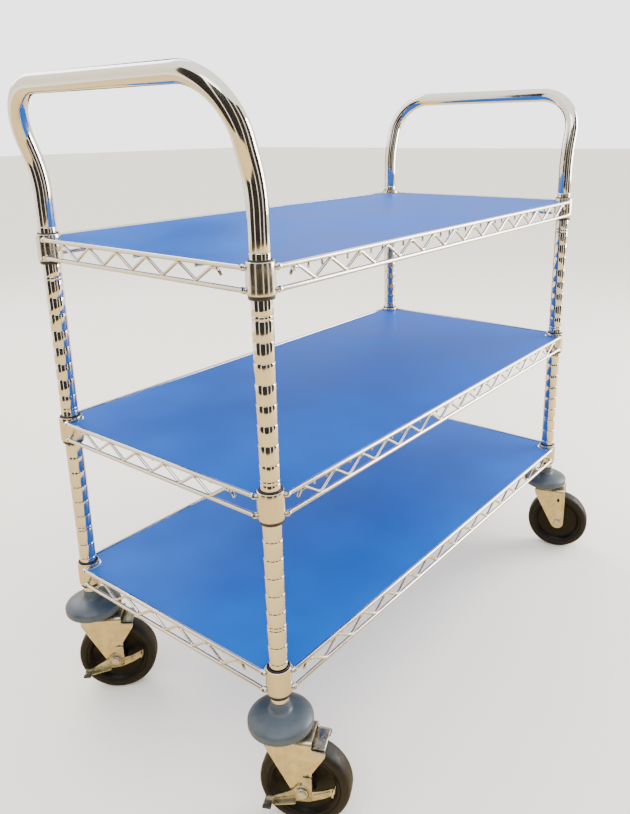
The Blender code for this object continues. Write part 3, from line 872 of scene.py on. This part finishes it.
def build_bumper(corner, material):
    """Turned soft bumper: a straight neck, a tight fillet and a nearly flat disc with a round edge."""
    low, high = box_mm("bumper_" + corner)
    radius = (high[0] - low[0]) / 2
    top = high[2]
    bottom = low[2]
    sweep = smooth_profile([
        (13.2, top - 0.8), (13.4, top - 5.0), (13.6, top - 10.5), (14.6, top - 13.2), (17.2, top - 15.3),
        (24.0, top - 17.2), (31.0, top - 19.0), (36.5, top - 21.1), (41.0, top - 23.7),
        (43.6, top - 26.2), (radius, top - 28.8), (radius, top - 34.5), (radius - 1.0, bottom + 1.6),
        (radius - 2.6, bottom + 0.4), (radius - 4.5, bottom),
    ])
    sweep[:, 0] = np.minimum(sweep[:, 0], radius - 0.05)
    inner = [(9.0, bottom), (8.4, bottom + 0.6), (8.4, top - 0.6), (9.0, top), (12.6, top)]
    profile = np.concatenate([sweep, inner])
    grid = lathe(profile, 72, (*POSTS[corner], 0.0))
    make_piece("round_bumper_" + corner, [grid], material, "cart", ["bumper_" + corner], 50.0)


def build_stem(corner, material):
    """Plug stem and bearing plate: a turned rod, a flange and the rolled edge of the raceway."""
    low, high = box_mm("caster_stem_" + corner)
    plate = box_mm("bumper_" + corner)[0][2] - 0.3
    outer = (high[0] - low[0]) / 2
    foot = low[2]
    profile = [
        (0.0, high[2]), (6.6, high[2]), (8.0, high[2] - 1.4), (8.0, plate), (outer - 3.0, plate),
        (outer - 1.0, plate - 0.5), (outer - 0.1, plate - 1.7), (outer - 0.1, plate - 2.6),
        (outer - 1.6, plate - 3.2), (outer - 1.6, plate - 3.8), (outer - 0.2, plate - 4.2),
        (outer - 0.2, foot + 0.8), (outer - 1.2, foot), (0.0, foot),
    ]
    grid = lathe(profile, 64, (*POSTS[corner], 0.0))
    make_piece("stem_and_race_" + corner, [grid], material, "cart", ["caster_stem_" + corner])


class Caster:
    """Local directions of one caster: s trails, n runs along the axle away, z is up."""

    def __init__(self, corner):
        joint = JOINTS["wheel_roll_" + corner]
        self.corner = corner
        self.axle = np.array(joint["pos_m"]) / MM
        self.along = np.array(joint["axis"])
        self.trail = np.array([self.along[1], -self.along[0], 0.0])
        self.post = np.array([*POSTS[corner], 0.0])
        self.offset = float(np.dot(self.axle - self.post, self.trail))
        self.braked = corner in BRAKED

    def place(self, points):
        """Points (s, n, z) measured from the axle, in the cart's frame."""
        points = np.asarray(points, float)
        return (
            self.axle
            + points[..., :1] * self.trail
            + points[..., 1:2] * self.along
            + points[..., 2:] * np.array([0.0, 0.0, 1.0])
        )

    def turned(self, profile, sides):
        """Turn (radius, width) pairs round the axle."""
        profile = np.array(profile, float)
        turn = np.arange(sides) / sides * TAU
        grid = np.empty((len(profile), sides, 3))
        grid[..., 0] = profile[:, :1] * np.cos(turn)
        grid[..., 1] = profile[:, 1:]
        grid[..., 2] = profile[:, :1] * np.sin(turn)
        return self.place(grid), bool(profile[0, 0] > 0.0), True


def mirrored_profile(half):
    """A profile down one side and back up the other."""
    half = np.array(half, float)
    return np.concatenate([half, half[::-1] * np.array([1.0, -1.0])])


def build_wheel(caster, core_material, tyre_material):
    """Dished wheel centre and the tyre bonded round it, both turned about the axle."""
    corner = caster.corner
    body = "wheel_" + corner
    core = mirrored_profile([
        (4.9, 17.6), (5.4, 18.0), (12.6, 18.0), (13.6, 17.2), (14.6, 12.0), (16.5, 9.0), (20.0, 8.2),
        (38.0, 7.6), (41.5, 8.4), (43.0, 10.6), (45.0, 13.4), (46.5, 14.5), (49.6, 14.5), (50.0, 14.0),
    ])
    grid = caster.turned(core, 96)
    make_piece("wheel_centre_" + corner, [grid], core_material, body, ["wheel_core_" + corner])
    tread = [
        (50.3, 14.4), (51.0, 15.0), (52.2, 15.7), (54.0, TREAD_HALF), (57.4, TREAD_HALF), (59.5, 15.2),
        (61.0, 13.9), (62.1, 12.0), (62.8, 9.6), (WHEEL_RADIUS - 0.1, 6.4), (WHEEL_RADIUS, 3.0),
    ]
    grid = caster.turned(mirrored_profile(tread), 96)
    make_piece("tyre_tread_" + corner, [grid], tyre_material, body, ["tyre_" + corner])


def fork_edges(caster, height):
    """Front and rear edge of a fork leg at heights above the axle.

    Round the axle both edges follow the eye's circle; above it the front edge slants out to
    the crown and the rear edge stands upright, with a lug on a braked fork.
    """
    crown = box_mm("fork_" + caster.corner)[1][2] - caster.axle[2]
    eye = FORK_EYE
    circle = np.sqrt(np.clip(eye ** 2 - np.minimum(height, 0.0) ** 2, 0.0, None))
    corner_front = -caster.offset - 18.0
    tie = -eye * 0.30
    slant = np.interp(
        height, [tie, crown - 26.0, crown - 12.0, crown],
        [-eye, -caster.offset - 11.0, corner_front, corner_front],
    )
    front = np.where(height <= tie, -np.sqrt(np.clip(eye ** 2 - height ** 2, 0.0, None)), slant)
    rear = np.where(height <= 0.0, circle, eye)
    if caster.braked:
        rear = rear + np.interp(height, EAR_HEIGHTS, [0.0, 17.8, 18.6, 18.6, 17.8, 0.0])
    return front, rear


def build_fork(caster, material):
    """Pressed fork: one sheet bent over the wheel, as wide as its edges allow at each height.

    Rows run up the near leg, round a bend, over the crown and down the far leg; columns run
    from the front edge to the rear edge.  A pressed crease runs up each leg, inward by
    depth exp(-((s - s0) / w)^2).  Solidify gives the sheet its thickness inward.
    """
    corner = caster.corner
    crown = box_mm("fork_" + corner)[1][2] - caster.axle[2]
    side = FORK_INNER + FORK_SHEET
    bend = 7.0
    drop = 1 - np.cos(np.linspace(0.0, math.pi / 2, 12))
    foot = -FORK_EYE + drop * FORK_EYE
    leg = np.unique(np.concatenate([foot, LEG_ROWS, [crown - bend]]))
    arc = np.linspace(0.0, math.pi / 2, 9)[1:]
    height = np.concatenate([leg, crown - bend + bend * np.sin(arc)])
    spread = np.concatenate([np.full(len(leg), side), side - bend + bend * np.cos(arc)])
    height = np.concatenate([height, height[::-1]])
    spread = np.concatenate([-spread, spread[::-1]])
    front, rear = fork_edges(caster, height)
    across = np.linspace(0.0, 1.0, LEG_COLUMNS)
    grid = np.empty((len(height), LEG_COLUMNS, 3))
    grid[..., 0] = front[:, None] * (1 - across) + rear[:, None] * across
    fade = np.clip((height - 12.0) / 6.0, 0.0, 1.0) * np.clip((crown - 14.0 - height) / 6.0, 0.0, 1.0)
    crease = CREASE_DEPTH * fade[:, None] * np.exp(-((grid[..., 0] - CREASE_AT) / CREASE_WIDTH) ** 2)
    grid[..., 1] = spread[:, None] - np.sign(spread)[:, None] * crease
    grid[..., 2] = height[:, None]
    points = caster.place(grid)
    piece = make_piece(
        "pressed_fork_" + corner, [(points, False, False)], material, "swivel_" + corner,
        ["fork_" + corner],
    )
    turn_sheet_out(piece, caster)
    thicken(piece, FORK_SHEET, 0.7)
    if not caster.braked:
        punch(piece, caster, 0.0, 54.0, 2.75, 4.75)


def turn_sheet_out(piece, caster):
    """Make an open sheet's faces point away from the wheel."""
    shape = bmesh.new()
    shape.from_mesh(piece.data)
    inside = Vector(caster.axle * MM)
    outward = sum(face.normal.dot(face.calc_center_median() - inside) for face in shape.faces)
    if outward < 0.0:
        bmesh.ops.reverse_faces(shape, faces=shape.faces)
    shape.to_mesh(piece.data)
    shape.free()


def bake_modifiers(piece):
    """Keep a piece's evaluated shape and drop its modifiers."""
    bpy.context.view_layer.update()
    graph = bpy.context.evaluated_depsgraph_get()
    mesh = bpy.data.meshes.new_from_object(piece.evaluated_get(graph))
    piece.modifiers.clear()
    piece.data = mesh
    mesh.shade_smooth()
    mesh.set_sharp_from_angle(angle=math.radians(35.0))


def thicken(piece, thickness, ease):
    """Give a sheet its thickness inward, and ease the long edges."""
    wall = piece.modifiers.new("wall", "SOLIDIFY")
    wall.thickness = thickness * MM
    wall.offset = -1.0
    wall.use_even_offset = True
    edge = piece.modifiers.new("eased_edge", "BEVEL")
    edge.width = ease * MM
    edge.segments = 2
    edge.limit_method = "ANGLE"
    edge.angle_limit = math.radians(75.0)
    bake_modifiers(piece)


def punch(piece, caster, s, z, half_width, half_height):
    """Punch an upright oval hole through a fork with a Boolean."""
    turn = np.arange(28) / 28 * TAU
    rows = []
    for reach, share in ((-40.0, 0.0), (-40.0, 1.0), (40.0, 1.0), (40.0, 0.0)):
        rows.append(np.stack([
            s + half_width * share * np.cos(turn),
            np.full(28, reach),
            z + half_height * share * np.sin(turn),
        ], 1))
    grid = caster.place(np.stack(rows))
    cutter = make_piece("hole_cutter", [(grid, False, True)], piece.data.materials[0], "cart")
    hole = piece.modifiers.new("hole", "BOOLEAN")
    hole.operation = "DIFFERENCE"
    hole.solver = "EXACT"
    hole.object = cutter
    bake_modifiers(piece)
    bpy.data.objects.remove(cutter, do_unlink=True)


def stamped_plate(caster, outline, near, far, radius=2.0):
    """A flat stamping between two n places: rounded outline, small eased rims, closed faces.

    The outline is drawn in towards its mean point on both faces, so it must be star shaped.
    """
    outline = np.array(outline, float)
    count = len(outline)
    loop = np.concatenate([outline[-1:], outline, outline[:1]])
    path = rounded(loop, [radius] * count, 3)[1:-1]
    middle_point = path.mean(axis=0)
    inner = middle_point + (path - middle_point) * 0.985
    rows = []
    for share, line, depth in (
        (0.0, path, near), (1.0, inner, near), (1.0, path, near + 0.35),
        (1.0, path, far - 0.35), (1.0, inner, far), (0.0, path, far),
    ):
        flat = middle_point + (line - middle_point) * share
        rows.append(np.stack([flat[:, 0], np.full(len(flat), depth), flat[:, 1]], 1))
    return caster.place(np.stack(rows)), False, True


def hexagon_rows(caster, half_flat, near, far):
    """A hex nut as rings of six-sided radius r = half / cos(a mod 60), chamfered at the face."""
    turn = np.arange(48) / 48 * TAU
    wedge = (turn % (TAU / 6)) - TAU / 12
    hexagon = half_flat / np.cos(wedge)
    rows = []
    for radius, depth in (
        (np.zeros(48), near), (np.full(48, half_flat * 0.93), near),
        (np.minimum(hexagon, half_flat * 1.04), near + (far - near) * 0.12),
        (hexagon, near + (far - near) * 0.3), (hexagon, far), (np.zeros(48), far),
    ):
        rows.append(np.stack([radius * np.cos(turn), np.full(48, depth), radius * np.sin(turn)], 1))
    return caster.place(np.stack(rows)), False, True


def build_bolt(caster, material):
    """Axle bolt: shank, washer and hex nut on each side, and a domed thread end."""
    corner = caster.corner
    near = FORK_INNER + FORK_SHEET + 0.3 + (2.8 if caster.braked else 0.0)
    far = FORK_INNER + FORK_SHEET + 0.3
    shank = caster.turned([(0.0, -near), (4.4, -near), (4.4, far), (0.0, far)], 24)
    grids = [shank]
    for place, outward in ((-near, -1.0), (far, 1.0)):
        washer = [(0.0, place + outward * 1.2), (7.6, place + outward * 1.2),
                  (8.2, place + outward * 0.8), (8.2, place), (0.0, place)]
        grids.append(caster.turned(washer, 40))
        grids.append(hexagon_rows(caster, 6.2, place + outward * 4.4, place + outward * 1.1))
        dome = [(0.0, place + outward * 5.0), (2.2, place + outward * 4.9), (3.4, place + outward * 4.6),
                (3.6, place + outward * 4.2), (0.0, place + outward * 4.2)]
        grids.append(caster.turned(dome, 24))
    make_piece("axle_bolt_and_nuts_" + corner, grids, material, "swivel_" + corner,
               ["axle_bolt_" + corner], 30.0)


def build_lever(caster, material, rubber):
    """Stamped rocking lever: pedal arm, hub plate, upright lug and upturned rear tab."""
    corner = caster.corner
    back = -(FORK_INNER + FORK_SHEET + 0.4)
    face = back - 2.3
    web = [(-51.8, -22.8), (-40.0, -22.8), (-34.0, -20.6), (-34.0, -10.6), (-40.0, -14.2), (-51.8, -15.2)]
    arm = [(-42.0, -22.2), (-8.0, -14.3), (2.0, -13.8), (2.0, 10.0), (-8.0, 5.8), (-40.0, -14.2)]
    hub = [(-6.0, -14.0), (8.0, -13.2), (13.8, -10.8), (13.8, 24.8), (0.7, 24.8), (0.7, 12.5), (-6.0, 7.0)]
    tail = [(6.0, -13.0), (8.0, -13.3), (30.0, -3.7), (44.8, 5.8), (45.8, 17.6), (41.5, 14.8),
            (28.0, 7.8), (14.0, 4.3), (6.0, 4.3)]
    grids = [stamped_plate(caster, part, face, back, 1.4) for part in (web, arm, hub, tail)]
    flange = [(-40.0, -22.6), (-8.0, -14.4), (-8.0, -12.9), (-40.0, -21.0)]
    grids.append(stamped_plate(caster, flange, face - 5.5, back, 0.6))
    for rib in (
        [(-38.0, -17.6), (-11.0, -8.0), (-11.0, -6.2), (-38.0, -15.8)],
        [(15.0, -2.2), (39.0, 8.6), (39.0, 10.2), (15.0, -0.4)],
    ):
        grids.append(stamped_plate(caster, rib, face - 0.8, face + 0.4, 0.6))
    ring = [
        (10.2, face + 0.3), (10.4, face - 0.6), (10.9, face - 0.8), (11.6, face - 0.6),
        (11.9, face + 0.3),
    ]
    grids.append(caster.turned(ring, 48))
    pedal = [(-51.8, -20.8), (-40.2, -20.8), (-40.2, -17.7), (-51.8, -17.7)]
    grids.append(stamped_plate(caster, pedal, face - 13.4, back, 1.0))
    tab = [(42.0, 7.1), (44.4, 7.1), (44.4, 14.9), (42.0, 14.9)]
    grids.append(stamped_plate(caster, tab, face - 6.8, back, 0.8))
    make_piece("brake_lever_" + corner + "_steel", grids, material, "brake_lever_" + corner,
               ["brake_lever_" + corner], 30.0)
    tip = [(-51.95, -20.95), (-40.05, -20.95), (-40.05, -17.55), (-51.95, -17.55)]
    pad = stamped_plate(caster, tip, face - 13.7, face - 9.0, 1.2)
    make_piece("brake_pedal_pad_" + corner, [pad], rubber, "brake_lever_" + corner, ())


def build_shoe(caster, material):
    """Brake shoe: a flat plate over the tread, a turned-down lip and two lugs to its hinge."""
    corner = caster.corner
    plate = [(7.0, 64.8), (31.0, 64.8), (31.0, 67.7), (7.0, 67.7)]
    lip = [(8.0, 61.6), (24.0, 61.6), (24.0, 66.2), (8.0, 66.2)]
    lug = [(24.0, 57.1), (31.0, 57.1), (31.0, 66.2), (24.0, 66.2)]
    grids = [stamped_plate(caster, plate, -18.0, 18.0, 1.2), stamped_plate(caster, lip, -18.0, -16.7, 1.6)]
    grids += [stamped_plate(caster, lug, near, near + 1.3, 2.2) for near in (-18.0, 16.7)]
    make_piece("brake_shoe_plate_" + corner, grids, material, "brake_shoe_" + corner,
               ["brake_shoe_" + corner])


# ---------------------------------------------------------------- studio

def build_studio():
    """Pale floor, a soft surround, cards for the chrome to mirror, and three large lights."""
    floor_mesh = bpy.data.meshes.new("floor")
    size = 30.0
    corners = [(x, y, 0.0) for x, y in ((-size, -size), (size, -size), (size, size), (-size, size))]
    floor_mesh.from_pydata(corners, [], [(0, 1, 2, 3)])
    floor = bpy.data.objects.new("floor", floor_mesh)
    bpy.context.scene.collection.objects.link(floor)
    material = start_material("pale_floor", {
        "Base Color": linear("#f8f6f1"), "Roughness": 0.8,
    })[0]
    floor_mesh.materials.append(material)
    world = bpy.data.worlds.new("soft_surround")
    bpy.context.scene.world = world
    world.use_nodes = True
    tree = world.node_tree
    seen = tree.nodes["Background"]
    seen.inputs["Color"].default_value = linear("#ffffff")
    seen.inputs["Strength"].default_value = BACKDROP_LIGHT
    way = add(tree, "ShaderNodeTexCoord").outputs["Generated"]
    split = add(tree, "ShaderNodeSeparateXYZ", links={"Vector": way})
    sky = add(
        tree, "ShaderNodeMixRGB", {"Color1": linear("#f2e2c4"), "Color2": linear("#ffffff")},
        {"Fac": split.outputs["Z"]},
    )
    lit = add(tree, "ShaderNodeBackground", {"Strength": SURROUND_LIGHT}, {"Color": sky.outputs["Color"]})
    ray = add(tree, "ShaderNodeLightPath").outputs["Is Camera Ray"]
    both = add(tree, "ShaderNodeMixShader", links={0: ray, 1: lit.outputs[0], 2: seen.outputs[0]})
    tree.links.new(both.outputs[0], tree.nodes["World Output"].inputs["Surface"])
    for name, bearing, width in FLAGS:
        add_flag(name, math.radians(bearing), width)
    reach = FLAG_DISTANCE
    low_corners = ((-reach, -reach), (reach, -reach), (reach, reach), (-reach, reach))
    add_card("cream_floor", [(x, y, 0.001) for x, y in low_corners], "#d8bd88")
    add_light("key_softbox", (2.4, -1.8, 1.3), (0.0, 0.0, 0.4), 1.8, 130.0)
    add_light("fill_softbox", (-2.4, -1.2, 3.0), (0.0, 0.0, 0.5), 2.0, 45.0)
    add_light("back_softbox", (0.6, 2.8, 2.6), (0.0, 0.0, 0.5), 2.4, 70.0)


def add_flag(name, bearing, width):
    """A dark upright panel that stands round the cart."""
    away = Vector((math.cos(bearing), math.sin(bearing), 0.0))
    along = Vector((-away.y, away.x, 0.0)) * width / 2
    foot = away * FLAG_DISTANCE
    rise = Vector((0.0, 0.0, FLAG_HEIGHT))
    add_card(name, [foot - along, foot + along, foot + along + rise, foot - along + rise], "#120e0b")


def add_card(name, corners, colour):
    """A plain studio card that only mirror reflections see."""
    mesh = bpy.data.meshes.new(name)
    mesh.from_pydata(corners, [], [(0, 1, 2, 3)])
    card_material = start_material(name + "_card", {"Base Color": linear(colour), "Roughness": 0.95})[0]
    mesh.materials.append(card_material)
    card = bpy.data.objects.new(name, mesh)
    card.visible_camera = False
    card.visible_diffuse = False
    card.visible_shadow = False
    bpy.context.scene.collection.objects.link(card)


def add_light(name, place, target, size, power):
    """A square area light aimed at a point."""
    light = bpy.data.lights.new(name, "AREA")
    light.size = size
    light.energy = power
    lamp = bpy.data.objects.new(name, light)
    lamp.location = place
    lamp.rotation_euler = (Vector(target) - Vector(place)).to_track_quat("-Z", "Y").to_euler()
    bpy.context.scene.collection.objects.link(lamp)


def build_camera():
    """Camera near one corner at chest height, looking down along the cart."""
    yaw = math.radians(52.46)
    pitch = math.radians(16.11)
    roll = math.radians(-0.77)
    look = Vector((math.cos(pitch) * math.sin(yaw), math.cos(pitch) * math.cos(yaw), -math.sin(pitch)))
    right = Vector((math.cos(yaw), -math.sin(yaw), 0.0))
    up = right.cross(look)
    level = Matrix((right, up, -look)).transposed()
    camera_data = bpy.data.cameras.new("camera")
    camera_data.lens = 32.89
    camera_data.sensor_width = 36.0
    camera_data.shift_x = -0.0383
    camera_data.shift_y = -0.0779
    camera = bpy.data.objects.new("camera", camera_data)
    camera.matrix_world = (level @ Matrix.Rotation(roll, 3, "Z")).to_4x4()
    camera.location = (-1.0284, -0.7818 + CENTRE_Y * MM, 0.9118)
    bpy.context.scene.collection.objects.link(camera)
    bpy.context.scene.camera = camera


def build_cart():
    """Make every piece of the cart."""
    tube_chrome = chrome_plated_tube()
    wire_chrome = chrome_plated_wire()
    collar_chrome = chrome_plated_collar()
    mat_blue = blue_polymer_mat()
    nylon = moulded_black_nylon()
    bumper_rubber = moulded_grey_rubber()
    pressing = zinc_plated_pressing()
    hardware = zinc_plated_hardware()
    brake_steel = zinc_plated_brake()
    core = moulded_wheel_core()
    tread = cast_polyurethane_tyre()
    pad = moulded_pedal_rubber()
    for end, side in (("left", -1), ("right", 1)):
        build_end_tube(end, side, tube_chrome)
    for level in LEVELS:
        height = SHELF_Z[level]
        build_rails(level, height, wire_chrome)
        build_collars(level, height, collar_chrome)
        build_deck(level, height, wire_chrome)
        build_mat(level, mat_blue)
        build_sleeves(level, height, nylon)
    for corner in CORNERS:
        caster = Caster(corner)
        build_bumper(corner, bumper_rubber)
        build_stem(corner, hardware)
        build_wheel(caster, core, tread)
        build_fork(caster, pressing)
        build_bolt(caster, hardware)
        if caster.braked:
            build_lever(caster, brake_steel, pad)
            build_shoe(caster, brake_steel)


build_cart()
build_studio()
build_camera()
